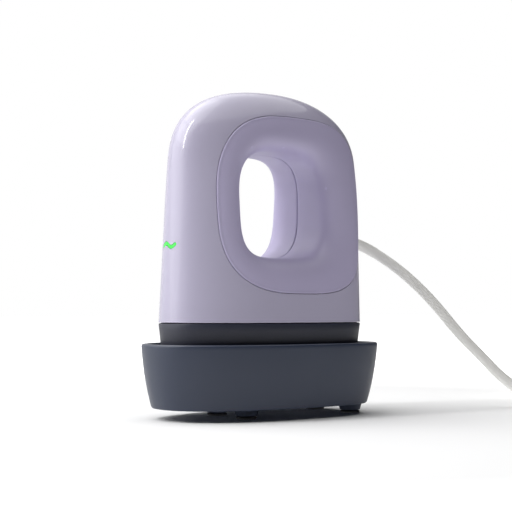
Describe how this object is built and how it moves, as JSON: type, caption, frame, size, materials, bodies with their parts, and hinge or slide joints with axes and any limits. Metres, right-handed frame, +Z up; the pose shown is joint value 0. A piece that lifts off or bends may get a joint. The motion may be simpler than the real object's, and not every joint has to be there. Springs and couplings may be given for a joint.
{
  "type": "mini heat press",
  "caption": "Hand-held heat press: arch-shaped housing with a see-through handle, dished grips, a heat plate and a cord, standing in its footed tray.",
  "frame": {"origin": "on the floor under the middle of the tray", "axes": "+Z up, -X towards the nose with the light, +X towards the back where the cord leaves, +Y across the flanks"},
  "size_m": [0.3236, 0.0867, 0.1373],
  "materials": {
    "housing_plastic": "glossy pale lilac",
    "grip_plastic": "satin pale lilac",
    "collar_plastic": "matte charcoal",
    "tray_plastic": "matte slate grey",
    "foot_rubber": "black rubber",
    "pad_silicone": "grey silicone",
    "plate_coating": "smooth grey ceramic coating on metal",
    "steel": "bare steel",
    "sheet_metal": "bright sheet metal",
    "fibre_board": "pale fibre board",
    "circuit_board": "green board lacquer",
    "black_plastic": "black moulding",
    "blue_plastic": "blue moulding",
    "green_plastic": "green moulding",
    "light": "lit green light guide",
    "cord_plastic": "pale grey cord sheath",
    "brass": "bare brass"
  },
  "bodies": {
    "base": {"tray": "tray_plastic", "foot_pad_1": "foot_rubber", "foot_pad_2": "foot_rubber", "foot_pad_3": "foot_rubber", "foot_pad_4": "foot_rubber", "rest_pad_front": "pad_silicone", "rest_pad_rear": "pad_silicone", "cord_coil": "cord_plastic", "cord_tail": "cord_plastic", "plug_body": "cord_plastic", "plug_blade_left": "brass", "plug_blade_right": "brass"},
    "press": {"heat_plate": "plate_coating", "heating_element": "steel", "thermistor": "black_plastic", "thermal_fuse": "brass", "clamp_plate": "sheet_metal", "insulation_board": "fibre_board", "heat_shield": "sheet_metal", "collar": "collar_plastic", "plate_screw_front": "steel", "plate_screw_middle": "steel", "plate_screw_rear": "steel", "housing_screw_1": "steel", "housing_screw_2": "steel", "housing_screw_3": "steel", "housing_screw_4": "steel", "light_guide": "light", "light_source": "light", "light_board": "circuit_board", "light_cable": "black_plastic", "switch_base": "black_plastic", "control_board": "circuit_board", "control_chip": "black_plastic", "control_cable": "black_plastic", "strain_relief": "cord_plastic", "relief_screw_left": "steel", "relief_screw_right": "steel", "relief_plate": "sheet_metal", "housing_shell": "housing_plastic", "lead_sheath": "cord_plastic", "grip_insert_left": "grip_plastic", "grip_insert_right": "grip_plastic", "board_screw_1": "steel", "board_screw_2": "steel", "power_board": "circuit_board", "relay": "blue_plastic", "supply_module": "black_plastic", "terminal_block": "green_plastic", "mains_fuse": "sheet_metal", "heater_lead_left": "cord_plastic", "heater_lead_right": "cord_plastic", "cord_free": "cord_plastic"},
    "button": {"power_button": "housing_plastic", "switch_plunger": "black_plastic"}
  },
  "joints": [
    {"name": "press_lift", "type": "slide", "parent": "base", "child": "press", "axis": [0, 0, 1], "range_m": [0, 0.06]},
    {"name": "button_press", "type": "slide", "parent": "press", "child": "button", "axis": [-1, 0, 0], "range_m": [0, 0.0005], "stiffness_N_per_m": 300, "springref_m": -0.001}
  ]
}
